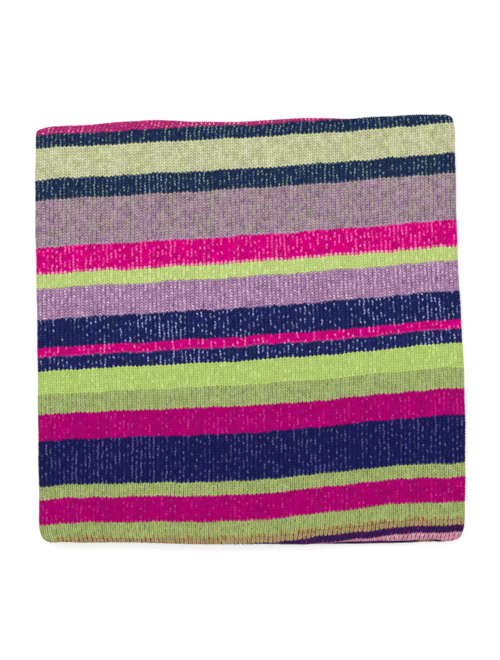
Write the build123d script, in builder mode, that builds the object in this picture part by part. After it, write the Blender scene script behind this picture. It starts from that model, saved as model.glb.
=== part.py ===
from build123d import *
import os

# A doubled, striped knit neck gaiter, laid flat, in millimetres.
#
# The gaiter is one long knitted tube, turned in on itself and linked end to end, so it has an
# outer layer and a lining that meet at a rolled rim above and below. Every stripe is its own run
# of yarn. The tube lies on its back: X is across the neck opening, Y runs from the lower rim to
# the upper one, and Z is up, away from the table. The origin is on the table, under the middle.
#
# Each layer is built as four runs: the front wall, which lifts when the mouth is opened, the back
# wall, which lies on the table, and the turn at each side that joins them.

# Laid-flat size
width = 252.0
height = 252.0
knit_thickness = 1.8
layer_gap = 0.2  # between the outer layer and the lining of one wall
mouth_gap = 5.0  # between the front lining and the back lining

# Knit gauge, and how the courses lie. A tube with its rims folded a little across the courses
# shows them rising to the right outside, and falling to the right in the lining.
course_height = 1.68
course_slope = 0.068  # rise per millimetre of width
top_line = 137.3  # where the upper rim's first course would lie if it didn't turn over

# Outer layer from the upper rim down: yarn, and courses that it is knitted for. The first and
# last stripe turn over the rims.
outer_stripes = [
    ("magenta_rim", 9),
    ("navy", 5),
    ("cream", 11),
    ("navy", 7),
    ("mauve", 17),
    ("magenta", 9),
    ("lime", 5),
    ("lilac", 11),
    ("navy", 10),
    ("magenta", 3),
    ("navy", 5),
    ("lime", 9),
    ("olive", 6),
    ("magenta", 10),
    ("navy", 16),
    ("lime", 5),
    ("magenta", 9),
    ("lime", 6),
    ("rust", 2),
    ("navy", 2),
    ("pink_rim", 9),
]

# Lining from the upper rim down. The linking seam joins the tube's two ends, course to course.
lining_stripes = [
    ("magenta_rim", 22),
    ("navy", 30),
    ("linking_seam", 2),
    ("mauve", 38),
    ("lime", 40),
    ("pink_rim", 36),
]

# Care label, sewn to the back lining below the upper rim
label_width = 36.0
label_height = 18.0
label_thickness = 0.4
label_corner = 1.0
label_middle_y = 96.0
label_margin = 1.5  # from its upper edge down to the stitches
label_stitches = 9
stitch_length = 2.4
stitch_width = 0.5
stitch_thickness = 0.2

# The front wall lifts away from the side turns, so its ends stand a little clear of them
turn_clearance = 0.3

wall_thickness = 2 * knit_thickness + layer_gap
total_thickness = 2 * wall_thickness + mouth_gap
rim_radius = wall_thickness / 2
turn_radius = total_thickness / 2
straight_half_width = width / 2 - turn_radius
straight_half_height = height / 2 - rim_radius
inner_radius = layer_gap / 2
front_middle_z = total_thickness - rim_radius
back_middle_z = rim_radius


def draw_layer(side):
    """One layer of a wall in cross-section: straight, with a quarter turn at each rim.

    X runs from the lower rim to the upper one, and Y points out of the tube. Side 1 is the outer
    layer and side -1 is the lining.
    """
    SlotOverall(height, 2 * rim_radius)
    SlotOverall(2 * (straight_half_height + inner_radius), 2 * inner_radius, mode=Mode.SUBTRACT)
    with Locations((0, side * rim_radius)):
        Rectangle(2 * height, 2 * rim_radius, mode=Mode.INTERSECT)


def straight_wall(middle_z, outward, side, clearance):
    """The front or back run of a layer, from one side turn to the other."""
    half = straight_half_width - clearance
    start = Plane(origin=(-outward * half, 0, middle_z), x_dir=(0, 1, 0), z_dir=(outward, 0, 0))
    with BuildPart() as wall:
        with BuildSketch(start):
            draw_layer(side)
        extrude(amount=2 * half)
    return wall.part


def side_turn(direction, side):
    """The half turn of a layer round the tube's edge, left for direction -1, right for 1."""
    edge_x = direction * straight_half_width
    start = Plane(origin=(edge_x, 0, front_middle_z), x_dir=(0, 1, 0), z_dir=(1, 0, 0))
    axis = Axis((edge_x, 0, turn_radius), (0, direction, 0))
    with BuildPart() as turn:
        with BuildSketch(start):
            draw_layer(side)
        revolve(axis=axis, revolution_arc=180)
    return turn.part


def course_plane(line, slope):
    """The plane of one course, given by its height at mid width and its rise to the right."""
    return Plane(origin=(0, line, 0), x_dir=(0, 0, 1), z_dir=(-slope, 1, 0))


def cut_run(layer, upper_line, lower_line, slope):
    """The part of a layer between two course lines, which one yarn knits."""
    with BuildPart() as run:
        add(layer)
        split(bisect_by=course_plane(upper_line, slope), keep=Keep.BOTTOM)
        split(bisect_by=course_plane(lower_line, slope), keep=Keep.TOP)
    return run.part


def stripe_lines(stripes):
    """(number, yarn, upper line, lower line) of each stripe of a layer."""
    lines = []
    upper = top_line
    for number, (yarn, courses) in enumerate(stripes):
        lower = upper - courses * course_height
        lines.append((number, yarn, upper, lower))
        upper = lower
    return lines


def cut_turn(direction, side, stripes, slope):
    """The runs of a side turn, without the stripes that leave over a rim before its edge."""
    turn = side_turn(direction, side)
    rise = direction * slope * width / 2
    runs = []
    for _, _, upper, lower in stripe_lines(stripes):
        if lower + rise < height / 2 and upper + rise > -height / 2:
            runs.append(cut_run(turn, upper, lower, slope))
    return Compound(children=runs)


def care_label():
    """A blank ribbon that lies on the back lining."""
    with BuildPart() as ribbon:
        with BuildSketch(Plane((0, label_middle_y, wall_thickness))):
            RectangleRounded(label_width, label_height, label_corner)
        extrude(amount=label_thickness)
    return ribbon.part


def label_stitching():
    """A row of short thread stitches along the label's upper edge."""
    row_y = label_middle_y + label_height / 2 - label_margin
    with BuildPart() as stitches:
        with BuildSketch(Plane((0, row_y, wall_thickness + label_thickness))):
            with GridLocations(label_width / label_stitches, 0, label_stitches, 1):
                SlotOverall(stitch_length, stitch_width)
        extrude(amount=stitch_thickness)
    return stitches.part


def save(piece, label):
    piece.label = label
    export_step(piece, f"parts/{label}.step")


os.makedirs("parts", exist_ok=True)

for wall, middle_z, outward, clearance in (
    ("front", front_middle_z, 1, turn_clearance),
    ("back", back_middle_z, -1, 0.0),
):
    outer = straight_wall(middle_z, outward, 1, clearance)
    for number, yarn, upper, lower in stripe_lines(outer_stripes):
        save(cut_run(outer, upper, lower, course_slope), f"{wall}_{number:02d}_{yarn}")
    lining = straight_wall(middle_z, outward, -1, clearance)
    for number, yarn, upper, lower in stripe_lines(lining_stripes):
        save(cut_run(lining, upper, lower, -course_slope), f"{wall}_lining_{number}_{yarn}")

for edge, direction in (("left", -1), ("right", 1)):
    save(cut_turn(direction, 1, outer_stripes, course_slope), f"{edge}_outer_turn")
    save(cut_turn(direction, -1, lining_stripes, -course_slope), f"{edge}_lining_turn")

save(care_label(), "care_label")
save(label_stitching(), "label_stitches")
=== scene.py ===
import math

import bpy
import numpy as np
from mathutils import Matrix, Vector


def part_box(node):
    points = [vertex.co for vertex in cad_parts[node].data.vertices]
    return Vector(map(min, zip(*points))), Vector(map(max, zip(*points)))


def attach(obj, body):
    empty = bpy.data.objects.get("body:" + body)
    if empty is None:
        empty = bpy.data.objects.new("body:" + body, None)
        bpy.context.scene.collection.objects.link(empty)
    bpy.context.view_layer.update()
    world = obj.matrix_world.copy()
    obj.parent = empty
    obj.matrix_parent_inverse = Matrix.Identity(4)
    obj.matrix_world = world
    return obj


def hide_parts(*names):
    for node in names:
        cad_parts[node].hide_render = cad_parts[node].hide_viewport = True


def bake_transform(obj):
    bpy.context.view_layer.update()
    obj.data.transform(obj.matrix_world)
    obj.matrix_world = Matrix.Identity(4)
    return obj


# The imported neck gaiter, as one closed ring of knit per yarn, with its linking seam and care label.
#
# The tube is one long piece of knitting, folded in at both rims. A point of it is given by its wale
# q, counted round the tube from the middle of the back, and by a distance v along the wale, measured
# from mid height as if neither rim were folded. c counts a band's courses from its lower edge up.
# Shapes are worked out in millimetres, and turned into metres as each mesh is made.

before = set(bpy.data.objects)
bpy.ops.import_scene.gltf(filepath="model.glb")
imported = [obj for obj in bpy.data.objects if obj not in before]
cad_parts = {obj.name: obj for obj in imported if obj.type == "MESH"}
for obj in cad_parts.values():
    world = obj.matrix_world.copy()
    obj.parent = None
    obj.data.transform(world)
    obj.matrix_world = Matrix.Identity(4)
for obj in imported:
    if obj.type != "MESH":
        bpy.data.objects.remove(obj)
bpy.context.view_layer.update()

# Sizes in millimetres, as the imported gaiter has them
MM = 0.001
HALF_HEIGHT = 126.0
THICKNESS = 12.6  # of the whole gaiter, laid flat
KNIT = 1.8  # of one layer
LAYER_GAP = 0.2
TURN_RADIUS = THICKNESS / 2 - KNIT / 2  # of the outer layer's middle, round a side fold
FOLD_RADIUS = (KNIT + LAYER_GAP) / 2  # of the knit's middle, round a rim
RIM = FOLD_RADIUS + KNIT / 2  # from where the knit starts to fold out to the rim itself

# The knitting
WALES = 204  # round the tube
COURSE = 1.68
V_DEPTH = 0.6  # how far a stitch's V dips at its middle, in courses
V_MEAN = 0.53  # the V's mean height, as a share of its depth
V_CURVE = 1.1  # how its sides bend: at 1 they are straight
WALE_SEED = 5
WALE_SHIFT = 0.16  # the most that a wale's stitches stand above or below their course, in courses
RELIEF = 0.62  # from the gaps between legs up to their tops
COURSES_APART = 64  # between one band's first course and the next one's, as the knit UV counts them
FOLD_LEVEL = 119.0  # past it, bands get closer rows inside, because they fold over a rim
SEAM_LINE = 48.0  # the linking seam's upper edge in the lining
SEAM_SLOPE = 0.03  # how fast that edge falls to the right
SEAM_HEIGHT = 3.4
FIRST_LEVEL = 201.3  # where the knitting starts at the linking seam, as a distance up a wale
LAST_LEVEL = -298.6  # and where it ends
FRONT_REACH = 0.234  # from the middle of the front to the end of its lift, as a share of the way round
NARROWEST_SHEET = 10.1  # a stripe that is narrower is grouped with the one above it


def bump(x, middle, reach):
    """A smooth bump of height 1 at x = middle."""
    return np.exp(-(((x - middle) / reach) ** 2))


def smooth(x, start, end):
    """A smooth step from 0 at x = start to 1 at x = end."""
    t = np.clip((x - start) / (end - start), 0, 1)
    return t * t * (3 - 2 * t)


# ---------------------------------------------------------------- outline and courses

# The photo's outline and courses, as sums of smooth shapes, in millimetres: how high
# each one is, where its middle or its ends lie, and how far it reaches.


def half_width_and_middle(y):
    """Half the gaiter's width at height y, and the middle of that width."""
    left = -126.1 - np.tanh((y + 10) / 50)
    right = 123.9 - 3.1 * np.tanh((y - 20) / 50)
    left += 3.2 * bump(y, 123, 4.5) + 2.6 * bump(y, -127, 6)
    right -= 1.6 * bump(y, 126, 5) + 3.4 * bump(y, -127, 8)
    return (right - left) / 2, (right + left) / 2


def corner(x, edge, reach, dip):
    """How far a rim drops towards a side fold at x = edge."""
    return dip * np.clip(1 - np.abs(edge - x) / reach, 0, 1.2) ** 2


def upper_rim(x, front):
    """The upper rim's height at x, where front is 1 on the front wall and 0 on the back one."""
    y = 123.2 + 0.0293 * x + 0.9 * bump(x, -80, 12) + 1.9 * bump(x, -57, 18) - 0.6 * bump(x, -8, 15)
    y += 0.6 * bump(x, 30, 12) - 0.7 * bump(x, 58, 9) + 0.5 * bump(x, 98, 10)
    y -= corner(x, -127, 15, 2.4) + corner(x, 121, 7, 2.2)
    return y + (1 - front) * (0.9 * bump(x, -96, 7) - 0.4)


def lower_rim(x, front):
    """The lower rim's height. In front it is lifted on the right, where the back shows under it."""
    y = -126.2 + 0.25 * np.sin(x / 13 + 1) + 0.5 * bump(x, -112, 12)
    y += corner(x, -125, 9, 3.2) + corner(x, 127, 14, 5.2)
    y -= 1.1 * smooth(x, -85, 5) * (1 - smooth(x, 84, 112))
    lifted = smooth(x, 28, 60) * (1 - smooth(x, 108, 122))
    return y + front * 2.1 * lifted


def course_dents(level, x):
    """How far courses outside are pushed up or down locally, which fades out in the lining."""
    right = 0.95 * smooth(x, 0, 75) - 0.25 * smooth(x, 98, 116)
    dents = -0.5 * bump(x, -75, 22) - right * smooth(level, -114, -92)
    dents += 0.5 * bump(x, 113, 9) * bump(level, 102, 16) + 0.5 * bump(x, -2, 20) * bump(level, 68, 20)
    dents -= 0.6 * bump(x, -100, 10) * bump(level, 108, 18) + 0.7 * bump(x, 74, 15) * bump(level, 110, 9)
    dents -= 0.9 * bump(x, 86, 18) * bump(level, 43, 15) + 0.9 * bump(x, 58, 17) * bump(level, -14, 15)
    dents -= 0.6 * smooth(x, 15, 45) * bump(level, -43, 10) + 0.6 * bump(x, 22, 16) * bump(level, -43, 9)
    dents -= 0.4 * bump(x, -100, 10) * bump(level, -98, 14) + 0.6 * bump(x, -62, 38) * bump(level, -98, 16)
    dents -= 0.5 * bump(x, -2, 28) * bump(level, -100, 18) + 0.6 * bump(x, 114, 12) * bump(level, -96, 14)
    dents -= 0.9 * smooth(x, 102, 120) * bump(level, -90, 22)
    return dents * smooth(np.abs(level), 160, 135)


def course_line(level, x, front=1.0):
    """Where the course that is at height `level` at mid width lies at x.

    The courses rise to the right, sway, and ripple from wale to wale. Behind, the right end of the
    lower ones has slipped down.
    """
    held = np.clip(level, -130, 130)  # past the rims they keep on as at the rims
    slope = 0.0735 - 0.012 * ((held - 15) / 110) ** 2
    sway = 0.9 + 1.4 * np.clip(-held / 110, 0, 1.1)
    ripple = 0.22 * np.sin(x / 7.3 + level / 31) + 0.15 * np.sin(x / 3.1 - level / 17)
    line = level + slope * x - sway * (np.cos(2 * np.pi * x / 200) + 0.15) + ripple
    line += 0.8 * bump(x, -36, 16) * bump(level, 121.2, 4) + course_dents(level, x)
    slipped = (1 - front) * smooth(-held, 30, 120) * smooth(x, 10, 110) * (1 - smooth(x, 106, 125))
    return line - slipped * (10.3 + 2.2 * bump(x, 103, 6))


# ---------------------------------------------------------------- the tube


def racetrack(q, half_straight, middle):
    """The flat tube's section at wale q, from the middle of the back round by the left.

    Gives x, z and the outward normal's x and z, of the outer layer's middle surface.
    """
    turn = math.pi * TURN_RADIUS
    s = q / WALES * (4 * half_straight + 2 * turn)
    back_left = s < half_straight
    left = s - half_straight
    front = left - turn
    right = front - 2 * half_straight
    back_right = right - turn
    angle = np.where(front < 0, left, np.where(right < 0, turn, right)) / TURN_RADIUS
    angle = np.where(back_left, 0, np.clip(angle, 0, math.pi))
    side = np.where(right < 0, -1.0, 1.0)
    nx = side * np.sin(angle)
    nz = np.where(right < 0, -np.cos(angle), np.cos(angle))
    x = np.where(back_left, -s, -half_straight)
    x = np.where(front > 0, np.minimum(front, 2 * half_straight) - half_straight, x)
    x = np.where(back_right > 0, half_straight - back_right, x)
    return x + TURN_RADIUS * nx + middle, TURN_RADIUS * nz + THICKNESS / 2, nx, nz


def section_at(q, y):
    """The racetrack that the gaiter's outline gives at height y."""
    half, middle = half_width_and_middle(y)
    return racetrack(q, half - TURN_RADIUS - KNIT / 2, middle)


def front_share(q):
    """1 on the front wall, 0 on the back wall, and smooth between them round the side folds."""
    across = np.abs(q / WALES - 0.5)  # 0.25 at the folds
    return 1 - smooth(across, 0.235, 0.265)


def lift_share(q):
    """How much of the front wall's lift a wale follows: none at the side folds or behind."""
    across = np.clip((q / WALES - 0.5) / FRONT_REACH, -1, 1)
    return (1 - across**2) * front_share(q)


def wall_waves(x, y):
    """The shallow waves in which the front wall lies."""
    return 0.45 * (np.sin(x / 26 + y / 41) + np.sin(y / 19 - x / 57 + 2))


def tube_point(q, v, height):
    """A point of the knit, in metres, at `height` out from the middle of the knit's thickness."""
    x, _, _, _ = section_at(q, np.clip(v, -HALF_HEIGHT, HALF_HEIGHT))
    front = front_share(q)
    top = upper_rim(x, front) - RIM
    bottom = lower_rim(x, front) + RIM
    over = np.where(v > 0, v - top, bottom - v)  # how far past the start of a rim's fold
    end = np.where(v > 0, top, bottom)
    away = np.where(v > 0, 1.0, -1.0)
    angle = np.clip(over / FOLD_RADIUS, 0, math.pi)

    # Past the fold the knit is stretched or eased so that it meets the linking seam exactly
    past = np.maximum(over - math.pi * FOLD_RADIUS, 0)
    seam = SEAM_LINE - SEAM_SLOPE * x - np.where(v > 0, 0, SEAM_HEIGHT)
    seam_v = np.where(v > 0, course_line(FIRST_LEVEL, x, front), -course_line(LAST_LEVEL, x, front))
    reach = seam_v - away * end - math.pi * FOLD_RADIUS
    past = past * (away * (end - seam)) / reach
    y = end + away * (FOLD_RADIUS * np.sin(angle) - past)
    y = np.where(over > 0, y, v)
    depth = np.where(over > 0, FOLD_RADIUS * (1 - np.cos(angle)), 0)
    x, z, nx, nz = section_at(q, y)
    out = np.where(over > 0, np.cos(angle), 1.0)
    along = np.where(over > 0, away * np.sin(angle), 0.0)
    x = x + nx * (height * out - depth)
    z = z + nz * (height * out - depth)
    y = y + along * height

    # The front wall droops at the rims and lies in waves, and the wales wander a little
    lift = lift_share(q)
    z = z - lift * 1.1 * (bump(y, HALF_HEIGHT, 26) + bump(y, -HALF_HEIGHT, 22))
    z = z + lift * wall_waves(x, y)
    x = x + 0.35 * np.sin(y / 21 + 1.1) * np.sin(x / 33) + 0.12 * np.sin(y / 5.3 + x / 2.9)
    return np.stack([x, y, z], -1) * MM


def stitch_relief(q, c, seed):
    """How high a stitch stands, from 0 in the gaps to about 1 along its two legs."""
    slant = 0.05 * np.cos(2 * np.pi * c) * np.sign(0.5 - q % 1)
    leg = np.abs((2 * (q - slant)) % 1 - 0.5) * 2
    on_gap = np.abs((2 * q) % 1) < 1e-6
    leg = np.where(on_gap, 1.0, leg)
    across = np.sqrt(np.clip(1 - leg**2, 0, 1))
    along = 0.74 + 0.26 * np.cos(2 * np.pi * (c - 0.5))
    sizes = np.random.default_rng(seed).uniform(0.8, 1.12, (int(c.max()) + 2, 2 * WALES))
    own = sizes[np.floor(c).astype(int), np.floor(2 * q).astype(int) % (2 * WALES)]
    return across * along * own


def add_object(name, mesh, material):
    """Put a mesh with one material into the scene."""
    mesh.materials.append(material)
    piece = bpy.data.objects.new(name, mesh)
    bpy.context.scene.collection.objects.link(piece)
    return piece


def knit_object(name, points, around, up, flat_rows, material):
    """A closed band of knit: rows of points round its section, columns round the tube.

    around and up are each point's wale and course, for the UV layer "knit". flat_rows says which
    rows of faces aren't shaded smooth.
    """
    rows, columns = points.shape[:2]
    r = np.arange(rows)[:, None]
    k = np.arange(columns)[None, :]
    r2, k2 = (r + 1) % rows, (k + 1) % columns
    quads = np.stack([r * columns + k, r * columns + k2, r2 * columns + k2, r2 * columns + k], -1)
    count = rows * columns
    mesh = bpy.data.meshes.new(name)
    mesh.vertices.add(count)
    mesh.vertices.foreach_set("co", points.astype(np.float32).ravel())
    mesh.loops.add(4 * count)
    mesh.loops.foreach_set("vertex_index", quads.astype(np.int32).ravel())
    mesh.polygons.add(count)
    mesh.polygons.foreach_set("loop_start", np.arange(0, 4 * count, 4, dtype=np.int32))
    mesh.polygons.foreach_set("use_smooth", ~np.repeat(flat_rows, columns))
    next_around = np.roll(around, -1, axis=1) + np.where(k2 == 0, WALES, 0)
    next_up = np.roll(up, -1, axis=1)
    corners = [
        (around, up),
        (next_around, next_up),
        (next_around, np.roll(next_up, -1, axis=0)),
        (around, np.roll(up, -1, axis=0)),
    ]
    uv = np.stack([np.stack(pair, -1) for pair in corners], 2)
    layer = mesh.uv_layers.new(name="knit")
    layer.data.foreach_set("uv", uv.astype(np.float32).ravel())
    mesh.update(calc_edges=True)
    mesh.validate()
    return add_object(name, mesh, material)


def lift_with_front(piece):
    """Bake a band's transform into its mesh. Its share of the front wall's lift is already in its points.
    """
    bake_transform(piece)


def wale_shift(q, level):
    """How far each wale's stitches stand above or below their course, in courses."""
    start = np.random.default_rng(WALE_SEED).uniform(0, 2 * np.pi, WALES + 1)
    start[-1] = start[0]
    return WALE_SHIFT * np.interp(q, np.arange(WALES + 1), np.sin(start + level / 6.0))


def course_rows(courses, per_course):
    """Where the rows of a stripe's face lie, in courses.

    per_course is how many rows each course has, either throughout or below and above the middle.
    """
    if len(per_course) == 1:
        return np.arange(courses * per_course[0] + 1) / per_course[0]
    half = courses // 2
    below = np.arange(half * per_course[0]) / per_course[0]
    above = half + np.arange((courses - half) * per_course[1] + 1) / per_course[1]
    return np.concatenate([below, above])


def knit_ring(name, number, upper, lower, courses, material, per_wale, per_course):
    """One yarn's band of the tube, a closed solid as thick as the knit.

    upper and lower are the levels of its edges. Its number keeps its uneven dye and flecks from
    repeating another band's. per_wale and per_course are how many points they have.
    """
    wales = np.arange(WALES * per_wale) / per_wale
    open_share = 1 - (1 - np.abs(2 * (wales % 1) - 1)) ** V_CURVE
    dip = V_DEPTH * COURSE * (open_share - V_MEAN)
    mid_level = np.clip((upper + lower) / 2, -HALF_HEIGHT, HALF_HEIGHT)
    x_near, _, _, _ = section_at(wales, mid_level)
    front = front_share(wales)
    top = course_line(upper, x_near, front) + COURSE * wale_shift(wales, upper)
    bottom = course_line(lower, x_near, front) + COURSE * wale_shift(wales, lower)

    face_rows = course_rows(courses, per_course)
    spacing = 2 if abs(upper) > FOLD_LEVEL else 4  # courses between the inner side's rows
    inner_rows = np.linspace(courses, 0, max(2, courses // spacing + 1))
    around, up = np.meshgrid(wales, np.concatenate([face_rows, inner_rows]))
    height = np.full(up.shape, -KNIT / 2)
    face = slice(len(face_rows))
    relief = stitch_relief(around[face], up[face], seed=int(abs(upper) * 10))
    height[face] = KNIT / 2 - RELIEF + RELIEF * relief
    points = tube_point(around, bottom + (top - bottom) * up / courses + dip, height)
    flat_rows = np.zeros(len(up), bool)
    flat_rows[[len(face_rows) - 1, -1]] = True  # the band's upper and lower edges
    up = up + number * COURSES_APART
    piece = knit_object(name, points, around, up, flat_rows, material)
    lift_with_front(piece)
    return piece


# ---------------------------------------------------------------- materials


def linear(colour):
    """An sRGB colour from 0 to 255 as Blender's linear one, opaque."""
    shares = [v / 255 for v in colour]
    return tuple(v / 12.92 if v <= 0.0404 else ((v + 0.055) / 1.055) ** 2.4 for v in shares) + (1.0,)


class Nodes:
    """Short calls for building a material's nodes."""

    def __init__(self, name):
        self.material = bpy.data.materials.new(name)
        self.material.use_nodes = True
        self.tree = self.material.node_tree
        self.shader = self.tree.nodes["Principled BSDF"]

    def add(self, kind, **settings):
        node = self.tree.nodes.new(kind)
        for key, value in settings.items():
            setattr(node, key, value)
        return node

    def put(self, socket, value):
        """Link a socket to another node's output, or set it to a plain value."""
        if hasattr(value, "links"):
            self.tree.links.new(value, socket)
        else:
            socket.default_value = value

    def math(self, operation, *values, clamp=False):
        node = self.add("ShaderNodeMath", operation=operation, use_clamp=clamp)
        for socket, value in zip(node.inputs, values):
            self.put(socket, value)
        return node.outputs[0]

    def ramp(self, value, start, end, low=0.0, high=1.0):
        """A smooth step from low at start to high at end."""
        node = self.add("ShaderNodeMapRange", interpolation_type="SMOOTHSTEP")
        for key, v in (("Value", value), ("From Min", start), ("From Max", end)):
            self.put(node.inputs[key], v)
        node.inputs["To Min"].default_value = low
        node.inputs["To Max"].default_value = high
        return node.outputs[0]

    def split(self, vector):
        node = self.add("ShaderNodeSeparateXYZ")
        self.put(node.inputs[0], vector)
        return node.outputs[0], node.outputs[1]

    def pair(self, x, y):
        node = self.add("ShaderNodeCombineXYZ")
        self.put(node.inputs[0], x)
        self.put(node.inputs[1], y)
        return node.outputs[0]

    def random(self, x, y):
        """Three random numbers from 0 to 1 for each pair of numbers."""
        node = self.add("ShaderNodeTexWhiteNoise", noise_dimensions="2D")
        self.put(node.inputs["Vector"], self.pair(x, y))
        colour = self.add("ShaderNodeSeparateColor")
        self.put(colour.inputs[0], node.outputs["Color"])
        return colour.outputs[0], colour.outputs[1], colour.outputs[2]

    def noise(self, vector, scale, detail):
        node = self.add("ShaderNodeTexNoise", noise_dimensions="3D")
        self.put(node.inputs["Vector"], vector)
        node.inputs["Scale"].default_value = scale
        node.inputs["Detail"].default_value = detail
        return node.outputs["Fac"]

    def mix(self, share, a, b):
        node = self.add("ShaderNodeMix", data_type="RGBA")
        self.put(node.inputs[0], share)
        self.put(node.inputs[6], a)
        self.put(node.inputs[7], b)
        return node.outputs[2]

    def relief(self, height, strength, distance):
        """Bump the surface by a height, at most `distance` metres."""
        node = self.add("ShaderNodeBump")
        node.inputs["Strength"].default_value = strength
        node.inputs["Distance"].default_value = distance
        self.put(node.inputs["Height"], height)
        self.put(self.shader.inputs["Normal"], node.outputs[0])


# How dark the painted shade is, which stands for the shadow in the knit's dips
GAP_SHADE_DARKNESS = 0.62  # of the lines between wales, legs and courses, at a strength of 1


def knit_material(
    name, yarn, shade, fleck, density, strength, ground,
    edge=0.0, edge_yarn=None, edge_height=0.5, length=0.0, mottle=0.0,
    gap=0.5, centre=0.5, joint=0.6, heather=0.5, gap_width=0.15,
):
    """Plated yarn: the yarn's own colour, painted shade in its gaps, and flecks of the yarn behind it.

    density is the share of stitches that show a fleck, strength how plainly they show it, ground
    how much of the yarn behind shows between all wales, length how far flecks reach past their
    own course, and mottle how much whole stitches take its colour. edge is how much a mixture with
    the next stripe's yarn, edge_yarn, shows in this stripe's first edge_height courses. shade is the
    darker colour that the painted shade and the yarn's unevenness mix towards. gap, centre and joint
    are how dark the painted shade is in the dips between wales, between a stitch's legs and between
    courses, and heather is the yarn's own unevenness.
    """
    n = Nodes(name)
    place = n.add("ShaderNodeUVMap", uv_map="knit").outputs[0]
    q, c = n.split(place)
    band = n.math("FLOOR", n.math("DIVIDE", c, float(COURSES_APART)))
    from_start = n.math("MODULO", c, float(COURSES_APART))

    # A fleck's cell is centred on the gap between two wales and one course high. Its fleck is a
    # short stroke that stands a little to one side of the gap and leans.
    wale = n.math("FLOOR", n.math("ADD", q, 0.5))
    shift = n.math("MULTIPLY_ADD", n.random(wale, 31.0)[0], 0.6, -0.3)
    c_near = n.math("ADD", c, shift)
    course = n.math("FLOOR", c_near)
    up = n.math("SUBTRACT", n.math("FRACT", c_near), 0.5)
    chance, aside, lean = n.random(wale, course)
    glow = n.random(n.math("ADD", wale, 0.37), course)[0]
    line = n.math("MULTIPLY_ADD", aside, 0.18, -0.09)
    line = n.math("ADD", line, n.math("MULTIPLY", up, n.math("MULTIPLY_ADD", lean, 0.56, -0.28)))
    wave = n.noise(n.pair(n.math("MULTIPLY", wale, 7.3), n.math("MULTIPLY", c, 0.4)), 1.0, 1.0)
    wave = n.math("MULTIPLY_ADD", wave, 0.4, -0.2)
    line = n.math("ADD", line, wave)
    from_gap = n.math("SUBTRACT", q, wale)
    off_gap = n.math("ABSOLUTE", n.math("SUBTRACT", from_gap, line))
    thin = n.ramp(off_gap, 0.23, 0.05)
    short = n.ramp(n.math("ABSOLUTE", up), 0.5 + 0.2 * length, 0.18 + 0.3 * length)

    # Some wales and patches show more flecks than others
    own_wale = n.random(wale, n.math("ADD", band, 0.5))[0]
    patch = n.noise(place, 0.07, 2.0)
    share = n.math("MULTIPLY", n.math("MULTIPLY_ADD", own_wale, 0.7, 0.65), density)
    share = n.math("MULTIPLY", share, n.math("MULTIPLY_ADD", patch, 2.2, -0.1))
    shown = n.math("MULTIPLY", n.ramp(n.math("SUBTRACT", share, chance), -0.1, 0.22), strength)
    bright = n.math("MULTIPLY", shown, n.math("MULTIPLY_ADD", glow, 0.9, 0.35))
    behind = n.math("MULTIPLY", n.math("MULTIPLY_ADD", lean, 1.2, 0.4), ground)
    fleck_share = n.math("MULTIPLY", n.math("MULTIPLY", thin, short), n.math("MAXIMUM", bright, behind))

    # The mixture with the next stripe's yarn, along this stripe's lower edge
    first = n.math("MULTIPLY", n.ramp(from_start, edge_height, edge_height - 0.4), edge)
    mixture = n.math("MULTIPLY", n.ramp(off_gap, 0.5, 0.1, 1.0 - edge_height, 1.0), first)
    mixture = n.math("MULTIPLY", mixture, n.math("MULTIPLY", glow, 1.1), clamp=True)

    # The yarn itself is unevenly dyed
    leg = n.math("MULTIPLY", q, 2.0)
    own, takes_fleck, _ = n.random(n.math("FLOOR", leg), n.math("FLOOR", c))
    fibre = n.noise(n.pair(leg, c), 3.0, 3.0)
    stain = n.ramp(n.noise(place, 0.33, 2.0), 0.3, 0.7)
    uneven = n.math("ADD", n.math("MULTIPLY", own, 0.4), n.math("MULTIPLY", fibre, 0.3))
    uneven = n.math("MULTIPLY", n.math("MULTIPLY_ADD", stain, 0.2, uneven), heather)

    # Painted shade in the knit's dips: it is darker between wales, between a stitch's legs and between
    # courses, except under a fleck
    in_wale = n.math("ABSOLUTE", n.math("SUBTRACT", from_gap, n.math("MULTIPLY", wave, 0.4)))
    between = n.math("MULTIPLY", n.ramp(in_wale, gap_width, 0.0), gap)
    between = n.math("MAXIMUM", between, n.math("MULTIPLY", n.ramp(in_wale, 0.37, 0.5), centre))
    over = n.math("ABSOLUTE", n.math("SUBTRACT", n.math("FRACT", c), 0.5))
    over = n.math("MULTIPLY", n.ramp(over, 0.15, 0.5), joint)
    over = n.math("MULTIPLY", over, n.ramp(in_wale, 0.34, 0.08, 0.5, 1.05))
    lines = n.math("MULTIPLY", n.math("ADD", between, over), GAP_SHADE_DARKNESS)
    covered = n.math("MAXIMUM", fleck_share, mixture)
    lines = n.math("MULTIPLY", lines, n.math("MULTIPLY_ADD", covered, -1.5, 1.0, clamp=True))

    # The painted shade and the yarn's uneven dye both mix its colour towards shade
    base = n.mix(n.math("ADD", lines, uneven, clamp=True), linear(yarn), linear(shade))
    mottled = n.math("MULTIPLY", n.ramp(takes_fleck, 0.25, 0.95), mottle)
    flecked = n.mix(n.math("MAXIMUM", fleck_share, mottled, clamp=True), base, linear(fleck))
    colour = n.mix(mixture, flecked, linear(edge_yarn or fleck))
    n.put(n.shader.inputs["Base Color"], colour)
    n.shader.inputs["Roughness"].default_value = 0.95
    n.shader.inputs["Specular IOR Level"].default_value = 0.05

    # The twist of the yarn, and its fibres
    off_leg = n.math("ABSOLUTE", n.math("SUBTRACT", n.math("FRACT", leg), 0.5))
    twist = n.math("SINE", n.math("MULTIPLY_ADD", c, 22.0, n.math("MULTIPLY", off_leg, 9.0)))
    height = n.math("MULTIPLY_ADD", twist, 0.25, n.math("MULTIPLY", fibre, 0.9))
    n.relief(height, 0.5, 0.00022)
    return n.material


def look(yarn, shade, fleck, density, strength, ground, **more):
    """One knit's settings, as knit_material takes them."""
    return dict(
        yarn=yarn, shade=shade, fleck=fleck, density=density, strength=strength, ground=ground, **more
    )
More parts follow.
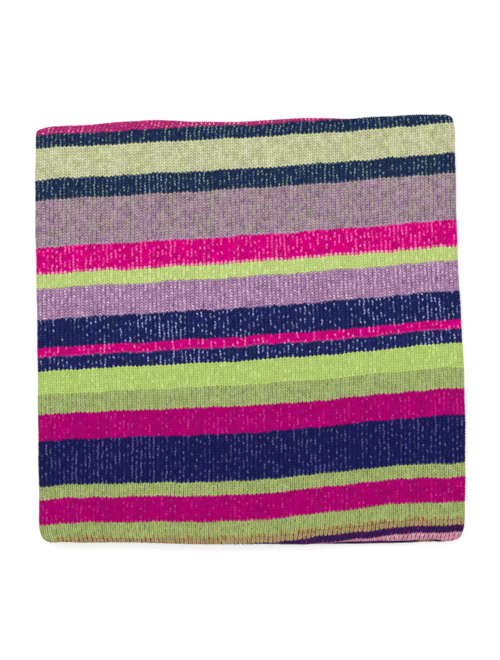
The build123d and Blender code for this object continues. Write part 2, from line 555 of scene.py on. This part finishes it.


# Each yarn with the one plated behind it, whose colour its flecks have
# The second colour of each is the darker one that the painted shade in the knit's dips and the yarn's
# uneven dye mix towards
LOOKS = {
    "magenta_on_lime": look(
        (214, 48, 141), (92, 0, 56), (248, 184, 166), 0.6, 0.8, 0.12, gap=0.7, joint=0.8
    ),
    "navy_on_lime": look(
        (38, 57, 101), (2, 8, 34), (170, 202, 178), 0.62, 0.64, 0.07, gap=0.8, joint=0.8, heather=0.6,
        edge=0.4, edge_yarn=(150, 164, 132),
    ),
    "cream_on_lime": look(
        (246, 243, 214), (118, 125, 56), (167, 193, 87), 0.47, 0.69, 0.45,
        gap=0.47, centre=0.62, joint=1.0, heather=0.66, length=0.23,
    ),
    "mauve_on_lime": look(
        (211, 167, 203), (86, 54, 90), (178, 198, 126), 0.64, 0.8, 0.34,
        mottle=0.26, gap=0.5, centre=0.8, joint=1.05, heather=0.8,
        edge=0.6, edge_yarn=(242, 160, 206), edge_height=0.6,
    ),
    "magenta_on_white": look(
        (242, 0, 144), (104, 0, 56), (255, 138, 194), 0.54, 0.84, 0.0, gap=0.5, joint=0.6,
        heather=0.45, length=0.2, edge=1.2, edge_yarn=(252, 176, 190), edge_height=0.9,
    ),
    "deep_magenta_on_white": look(
        (238, 0, 144), (104, 0, 56), (248, 152, 200), 0.38, 0.83, 0.0, length=0.2, edge=0.3, gap=0.5
    ),
    "lime_on_white": look(
        (205, 226, 134), (132, 164, 60), (236, 243, 200), 0.34, 0.5, 0.12,
        gap=0.7, centre=0.8, joint=0.9, length=0.5,
    ),
    "pale_lime_on_white": look(
        (214, 230, 148), (140, 170, 74), (240, 244, 204), 0.46, 0.6, 0.12,
        gap=0.7, centre=0.8, joint=0.9, length=0.5,
    ),
    "lilac_on_white": look(
        (211, 165, 199), (84, 48, 102), (246, 220, 236), 0.56, 0.84, 0.22,
        gap=0.16, centre=0.65, joint=1.05, heather=0.7,
    ),
    "navy_on_white": look(
        (34, 44, 110), (2, 6, 36), (188, 196, 232), 0.4, 0.8, 0.05, gap=0.75, joint=0.8, heather=0.6,
        edge=0.3, edge_yarn=(130, 110, 140), length=0.1,
    ),
    "flecked_navy_on_white": look(
        (36, 46, 112), (2, 6, 36), (188, 196, 232), 0.5, 0.8, 0.06, gap=0.75, joint=0.8, heather=0.6,
        edge=0.3, edge_yarn=(130, 110, 140), length=0.1,
    ),
    "olive_on_violet": look(
        (200, 216, 141), (104, 118, 58), (96, 86, 90), 0.56, 0.8, 0.2,
        gap=0.8, centre=0.8, joint=0.8, heather=0.6, length=0.2, edge=0.3, edge_yarn=(216, 150, 110),
    ),
    "magenta_on_violet": look(
        (197, 0, 124), (100, 0, 62), (214, 84, 168), 0.32, 0.56, 0.02, gap=0.4, joint=0.5,
        edge=0.7, edge_yarn=(214, 140, 120),
    ),
    "plain_magenta_on_violet": look(
        (200, 0, 127), (100, 0, 62), (214, 88, 170), 0.32, 0.58, 0.02, gap=0.4, joint=0.5
    ),
    "navy_on_violet": look(
        (28, 34, 98), (4, 4, 36), (128, 116, 172), 0.48, 0.66, 0.08, length=0.2, gap=0.7, joint=0.7,
        edge=0.5, edge_yarn=(136, 160, 134),
    ),
    "lime_on_violet": look(
        (202, 218, 141), (98, 114, 48), (98, 84, 92), 0.6, 0.85, 0.2,
        gap=0.8, centre=0.8, joint=0.8, heather=0.6, length=0.2, edge=0.4, edge_yarn=(216, 150, 110),
    ),
    "rusty_lime_on_violet": look(
        (198, 212, 135), (92, 110, 46), (96, 80, 88), 0.64, 0.9, 0.22, gap=0.85, centre=0.85,
        joint=0.45, heather=0.6, length=0.2, edge=1.0, edge_yarn=(160, 74, 54), edge_height=1.3,
    ),
    "rust_on_red": look(
        (195, 184, 128), (92, 42, 44), (128, 18, 46), 1.0, 1.0, 0.6,
        gap=0.85, centre=0.75, joint=0.3, length=0.7,
    ),
    "navy_on_red": look(
        (61, 35, 95), (20, 4, 42), (172, 44, 100), 0.4, 0.8, 0.1, edge=0.3, edge_yarn=(150, 90, 140)
    ),
    "pink_on_red": look(
        (243, 188, 206), (100, 2, 52), (186, 24, 90), 0.34, 0.7, 0.1,
        mottle=0.2, gap=1.2, centre=0.5, joint=0.4, heather=0.5, gap_width=0.22,
    ),
}
materials = {name: knit_material(name, **settings) for name, settings in LOOKS.items()}


# ---------------------------------------------------------------- the stripes

# From the lining's upper end, over the upper rim, down the outside and over the lower rim:
# name, yarn, courses, height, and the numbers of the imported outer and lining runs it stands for
STRIPES = [
    ("lining_navy", "navy_on_lime", 30, 50.0, [], [1]),
    ("stripe_00_magenta_rim", "magenta_on_lime", 18, 30.1, [0], [0]),
    ("stripe_01_navy", "navy_on_lime", 5, 7.4, [1], []),
    ("stripe_02_cream", "cream_on_lime", 11, 18.3, [2], []),
    ("stripe_03_navy", "navy_on_lime", 7, 11.8, [3], []),
    ("stripe_04_mauve", "mauve_on_lime", 17, 27.8, [4], []),
    ("stripe_05_magenta", "magenta_on_white", 9, 15.5, [5], []),
    ("stripe_06_lime", "pale_lime_on_white", 5, 8.5, [6], []),
    ("stripe_07_lilac", "lilac_on_white", 11, 18.1, [7], []),
    ("stripe_08_navy", "navy_on_white", 10, 16.8, [8], []),
    ("stripe_09_magenta", "deep_magenta_on_white", 3, 5.7, [9], []),
    ("stripe_10_navy", "flecked_navy_on_white", 5, 8.3, [10], []),
    ("stripe_11_lime", "lime_on_white", 9, 14.5, [11], []),
    ("stripe_12_olive", "olive_on_violet", 7, 11.6, [12], []),
    ("stripe_13_magenta", "plain_magenta_on_violet", 10, 16.0, [13], []),
    ("stripe_14_navy", "navy_on_violet", 16, 27.3, [14], []),
    ("stripe_15_lime", "lime_on_violet", 5, 7.9, [15], []),
    ("stripe_16_magenta", "magenta_on_violet", 9, 15.4, [16], []),
    ("stripe_17_lime", "rusty_lime_on_violet", 6, 10.2, [17], []),
    ("stripe_18_rust", "rust_on_red", 2, 3.4, [18], []),
    ("stripe_19_navy", "navy_on_red", 3, 4.0, [19], []),
    ("stripe_20_pink_rim", "pink_on_red", 12, 29.2, [20], [5]),
    ("lining_lime", "lime_on_white", 46, 78.5, [], [4]),
    ("lining_mauve", "mauve_on_lime", 38, 63.6, [], [3]),
]


def mesh_density(name, courses):
    """Columns per wale and rows per course, within what one exported piece may hold."""
    if name.startswith("lining"):
        return 4, (2,)
    if name.startswith("stripe_00"):
        return 8, (3, 2)
    if name.startswith("stripe_20"):
        return 8, (2, 3)
    return 8, ((4,) if courses < 12 else (3,))


def packed_names(outer, lining):
    """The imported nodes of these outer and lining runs, front and back, and of their side turns."""
    starts = [f"{wall}_{number:02d}_" for wall in ("front", "back") for number in outer]
    starts += [f"{wall}_lining_{number}_" for wall in ("front", "back") for number in lining]
    starts += ["left_outer", "right_outer"] if outer else []
    starts += ["left_lining", "right_lining"] if lining else []
    return [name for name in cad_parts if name.startswith(tuple(starts))]


sheets = []  # each wide stripe's piece, height and the pieces grouped with it
level = FIRST_LEVEL
for number, (name, yarn, courses, height, outer, lining) in enumerate(STRIPES):
    density = mesh_density(name, courses)
    ring = knit_ring(name, number, level, level - height, courses, materials[yarn], *density)
    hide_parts(*packed_names(outer, lining))
    "_".join(yarn.split("_")[-3:])  # deep_magenta_on_white is magenta_on_white too
    if height < NARROWEST_SHEET:
        sheets[-1][2].append(ring)
    else:
        sheets.append((ring, height, []))
    level -= height


# ---------------------------------------------------------------- the linking seam

# Its section: distance down from its upper edge, and height above the middle of the lining
SEAM_SECTION = np.array([
    (0.0, -0.9), (0.0, 0.5), (0.6, 1.15), (1.7, 0.75), (2.8, 1.15), (SEAM_HEIGHT, 0.5), (SEAM_HEIGHT, -0.9),
])
SEAM_COLUMNS = 4  # per wale
CHAIN_RELIEF = 0.22


def linking_seam(material):
    """The chain that joins the tube's two ends, standing a little proud of the lining."""
    wales = np.arange(WALES * SEAM_COLUMNS) / SEAM_COLUMNS
    q, down = np.meshgrid(wales, SEAM_SECTION[:, 0])
    _, height = np.meshgrid(wales, SEAM_SECTION[:, 1])
    side = np.sign(down - SEAM_HEIGHT / 2)  # of its middle groove; the two sides' loops alternate
    chain = CHAIN_RELIEF * np.cos(2 * np.pi * (q + 0.25 * side))
    height = height + np.where(height > 0.6, chain, 0)
    x_near, _, _, _ = section_at(q, SEAM_LINE)
    y = SEAM_LINE - SEAM_SLOPE * x_near - down
    x, z, nx, nz = section_at(q, y)
    depth = 2 * FOLD_RADIUS + height
    x = x - nx * depth
    z = z - nz * depth
    z = z + lift_share(q) * wall_waves(x, y)
    points = np.stack([x, y, z], -1) * MM
    flat_rows = np.zeros(len(SEAM_SECTION), bool)
    piece = knit_object("linking_seam", points, q, down / COURSE, flat_rows, material)
    lift_with_front(piece)
    return piece


seam = linking_seam(knit_material(
    "linking_thread", **look((178, 152, 164), (122, 100, 112), (200, 190, 180), 0.3, 0.5, 0.2)
))
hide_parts(*packed_names([], [2]))
sheets[-1][2].append(seam)


# ---------------------------------------------------------------- the care label

WEAVE = 14000.0  # radians per metre, which is a thread and its neighbour in 0.45 mm


def woven_material(name, colour, shade):
    """Satin ribbon or thread: a fine over-and-under weave."""
    n = Nodes(name)
    place = n.add("ShaderNodeTexCoord").outputs["Object"]
    x, y = n.split(place)
    across = n.math("SINE", n.math("MULTIPLY", x, WEAVE))
    along = n.math("SINE", n.math("MULTIPLY", y, WEAVE))
    weave = n.math("MULTIPLY_ADD", n.math("MULTIPLY", across, along), 0.5, 0.5)
    uneven = n.math("MULTIPLY", weave, n.noise(place, 400.0, 3.0))
    n.put(n.shader.inputs["Base Color"], n.mix(uneven, linear(colour), linear(shade)))
    n.shader.inputs["Roughness"].default_value = 0.55
    n.shader.inputs["Sheen Weight"].default_value = 0.1
    n.relief(weave, 0.3, 0.0001)
    return n.material


# The label's measures, in metres
RIBBON_UNDER, RIBBON_OVER = 0.00005, 0.0003  # its two faces, above the lining
RIBBON_CURL = 0.00012  # how much its free end waves
CORNER_CUT = 0.0009  # how far its sides draw in at its corners
STITCHES = 9
STITCH_LENGTH = 0.0024
STITCH_DIP = 0.00006  # how far a stitch's ends go into the ribbon
STITCH_RISE = 0.00012  # from its ends up to its middle
STITCH_SWAY = 0.0001  # to either side
THREAD_END, THREAD_SWELL = 0.00004, 0.00013  # its radius at a stitch's ends, and what its middle adds


def care_label():
    """A soft ribbon whose free lower end waves a little and whose corners are rounded."""
    low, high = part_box("care_label")
    rows, columns = 25, 49
    u, v = np.meshgrid(np.linspace(-1, 1, columns), np.linspace(-1, 1, rows))
    cut = CORNER_CUT * np.clip(np.abs(v) * 6 - 5, 0, 1) ** 2
    x = (low[0] + high[0]) / 2 + u * ((high[0] - low[0]) / 2 - cut)
    y = (low[1] + high[1]) / 2 + v * (high[1] - low[1]) / 2
    curl = RIBBON_CURL * (1 - v) / 2 * (1 + np.sin(5 * u + 0.6))
    under = np.stack([x, y, low[2] + RIBBON_UNDER + curl], -1).reshape(-1, 3)
    over = np.stack([x, y, low[2] + RIBBON_OVER + curl], -1).reshape(-1, 3)

    index = np.arange(rows * columns).reshape(rows, columns)
    face = np.stack([index[:-1, :-1], index[:-1, 1:], index[1:, 1:], index[1:, :-1]], -1).reshape(-1, 4)
    rim = np.concatenate([index[0, :], index[1:, -1], index[-1, -2::-1], index[-2:0:-1, 0]])
    after = np.roll(rim, -1)
    edge = np.stack([rim, after, after + index.size, rim + index.size], -1)
    quads = np.concatenate([face[:, ::-1], face + index.size, edge])
    mesh = bpy.data.meshes.new("care_label_ribbon")
    mesh.from_pydata(np.concatenate([under, over]).tolist(), [], quads.tolist())
    mesh.polygons.foreach_set("use_smooth", np.ones(len(quads), bool))
    material = woven_material("label_ribbon", (238, 236, 230), (206, 204, 198))
    return add_object("care_label_ribbon", mesh, material)


def label_thread():
    """The label's stitches: short runs of thread that dip into it at both ends."""
    low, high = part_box("label_stitches")
    mid_y = (low[1] + high[1]) / 2
    pitch = (high[0] - low[0] - STITCH_LENGTH) / (STITCHES - 1)
    sides, steps = 8, 12
    points, faces = [], []
    for stitch in range(STITCHES):
        start = low[0] + stitch * pitch
        base = len(points)
        for step in range(steps + 1):
            t = step / steps
            rise = math.sin(math.pi * t)
            radius = THREAD_END + THREAD_SWELL * rise**0.4
            sway = STITCH_SWAY * math.sin(9 * t + stitch)
            for side in range(sides):
                angle = 2 * math.pi * side / sides
                points.append((
                    start + STITCH_LENGTH * t,
                    mid_y + 1.3 * radius * math.cos(angle) + sway,
                    low[2] - STITCH_DIP + STITCH_RISE * rise + 0.8 * radius * math.sin(angle),
                ))
        for step in range(steps):
            for side in range(sides):
                a = base + step * sides + side
                b = base + step * sides + (side + 1) % sides
                faces.append((a, a + sides, b + sides, b))
        faces.append(tuple(base + side for side in range(sides)))
        faces.append(tuple(base + steps * sides + side for side in reversed(range(sides))))
    mesh = bpy.data.meshes.new("label_thread")
    mesh.from_pydata(points, [], faces)
    mesh.polygons.foreach_set("use_smooth", np.ones(len(faces), bool))
    material = woven_material("label_thread", (168, 160, 160), (120, 112, 114))
    return add_object("label_thread", mesh, material)


label = care_label()
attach(label, "back_wall")
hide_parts("care_label")
thread = label_thread()
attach(thread, "back_wall")
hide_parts("label_stitches")


# ---------------------------------------------------------------- floor, light and camera

# In metres, and watts for the lights
FLOOR_SIZE = 6
FLOOR_GAP = 0.0002  # below the gaiter
WHITE = (1, 1, 1, 1)
LIGHTS = [  # name, place, width, power
    ("key", (-0.5, 0.9, 1.5), 1.2, 16),
    ("fill", (0.9, -0.6, 1.4), 1.6, 9),
]
SKY_STRENGTH = 0.55
VIEW_HEIGHT = 0.3881  # what the frame's height covers at the gaiter's front
VIEW_MIDDLE = (-0.0003, -0.0006)
CAMERA_DISTANCE = 1.6  # from the gaiter's front


def add_floor():
    bpy.ops.mesh.primitive_plane_add(size=FLOOR_SIZE, location=(0, 0, -FLOOR_GAP))
    plane = bpy.context.object
    plane.name = "floor"
    n = Nodes("floor")
    n.shader.inputs["Base Color"].default_value = (0.93, 0.93, 0.93, 1)
    n.shader.inputs["Roughness"].default_value = 0.9
    n.shader.inputs["Specular IOR Level"].default_value = 0.1
    n.shader.inputs["Emission Color"].default_value = WHITE
    n.shader.inputs["Emission Strength"].default_value = 0.35
    plane.data.materials.append(n.material)


def add_light(name, place, width, power):
    """A round soft light that faces the gaiter."""
    data = bpy.data.lights.new(name, "AREA")
    data.shape = "DISK"
    data.size = width
    data.energy = power
    lamp = bpy.data.objects.new(name, data)
    bpy.context.scene.collection.objects.link(lamp)
    lamp.location = place
    lamp.rotation_euler = (-Vector(place)).to_track_quat("-Z", "Y").to_euler()


def add_camera():
    """A camera that looks straight down."""
    data = bpy.data.cameras.new("camera")
    camera = bpy.data.objects.new("camera", data)
    bpy.context.scene.collection.objects.link(camera)
    camera.location = (*VIEW_MIDDLE, CAMERA_DISTANCE + THICKNESS * MM)
    data.lens = data.sensor_width * CAMERA_DISTANCE / VIEW_HEIGHT
    bpy.context.scene.camera = camera


add_floor()
for settings in LIGHTS:
    add_light(*settings)
world = bpy.data.worlds.new("studio")
world.use_nodes = True
world.node_tree.nodes["Background"].inputs["Color"].default_value = WHITE
world.node_tree.nodes["Background"].inputs["Strength"].default_value = SKY_STRENGTH
bpy.context.scene.world = world
bpy.context.scene.view_settings.view_transform = "Standard"
add_camera()
